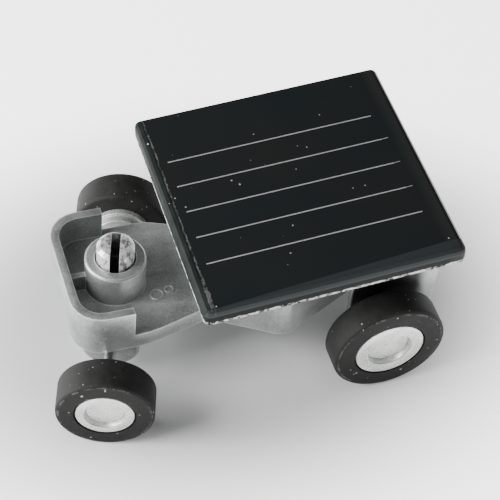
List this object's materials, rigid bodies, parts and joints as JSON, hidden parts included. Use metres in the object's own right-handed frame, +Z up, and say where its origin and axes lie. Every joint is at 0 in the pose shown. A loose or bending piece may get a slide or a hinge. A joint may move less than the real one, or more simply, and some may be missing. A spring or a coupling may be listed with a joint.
{
  "type": "miniature solar car kit",
  "caption": "Miniature solar racing car: tilted square panel on a silver chassis, motor geared to the rear axle, rubber tyres and a front bogie that steers on a split kingpin.",
  "frame": {"origin": "on the ground at the middle of the footprint, 12.5 mm ahead of the rear axle", "axes": "+X forward to the nose, +Y to the left, +Z up; the front bogie rests steered 18.3 degrees to the right"},
  "size_m": [0.036, 0.026, 0.0176],
  "materials": {
    "silver_plastic": "silver-pigmented moulded plastic, satin",
    "hub_silver": "silver-painted plastic, satin",
    "tyre_rubber": "matt black",
    "steel": "bright",
    "board_black": "black circuit board",
    "silicon": "dark wafer with silver grid lines",
    "epoxy": "poured resin, high gloss",
    "foam_tape": "double-sided foam tape",
    "nylon": "natural nylon",
    "brass": "plain",
    "magnet": "dark sintered magnet",
    "copper": "enamelled copper winding",
    "solder": "soft solder",
    "red_wire": "insulated lead",
    "black_wire": "insulated lead"
  },
  "bodies": {
    "chassis": {"chassis": "silver_plastic", "bottom_cover": "silver_plastic", "epoxy_dome": "epoxy", "panel_board": "board_black", "solar_cell": "silicon", "foam_tape_front": "foam_tape", "foam_tape_rear": "foam_tape", "solder_joint_red": "solder", "solder_joint_black": "solder", "motor_can": "steel", "motor_magnet": "magnet", "motor_end_cap": "nylon", "motor_brush_front": "brass", "motor_brush_rear": "brass", "lead_red": "red_wire", "lead_black": "black_wire"},
    "rear_wheelset": {"rear_axle": "steel", "rear_gear": "nylon", "rear_left_tyre": "tyre_rubber", "rear_left_hub": "hub_silver", "rear_right_tyre": "tyre_rubber", "rear_right_hub": "hub_silver"},
    "motor_rotor": {"motor_shaft": "steel", "motor_pinion": "brass", "motor_coil": "copper", "motor_commutator": "brass"},
    "front_bogie": {"front_carrier": "silver_plastic"},
    "front_wheelset": {"front_axle": "steel", "front_left_tyre": "tyre_rubber", "front_left_hub": "hub_silver", "front_right_tyre": "tyre_rubber", "front_right_hub": "hub_silver"}
  },
  "joints": [
    {"name": "rear_spin", "type": "hinge", "parent": "chassis", "child": "rear_wheelset", "pos_m": [-0.01247, 0, 0.0053], "axis": [0, 1, 0], "continuous": true},
    {"name": "motor_spin", "type": "hinge", "parent": "chassis", "child": "motor_rotor", "pos_m": [-0.00793, 0, 0.00741], "axis": [0, 1, 0], "continuous": true},
    {"name": "steer", "type": "hinge", "parent": "chassis", "child": "front_bogie", "pos_m": [0.01008, 0, 0.0071], "axis": [0, 0, 1], "range_deg": [-9.7, 46.3]},
    {"name": "front_spin", "type": "hinge", "parent": "front_bogie", "child": "front_wheelset", "pos_m": [0.01008, 0, 0.00435], "axis": [0.314, 0.9494, 0], "continuous": true}
  ],
  "couplings": [
    {"joint": "motor_spin", "follows": "rear_spin", "ratio": -3}
  ]
}
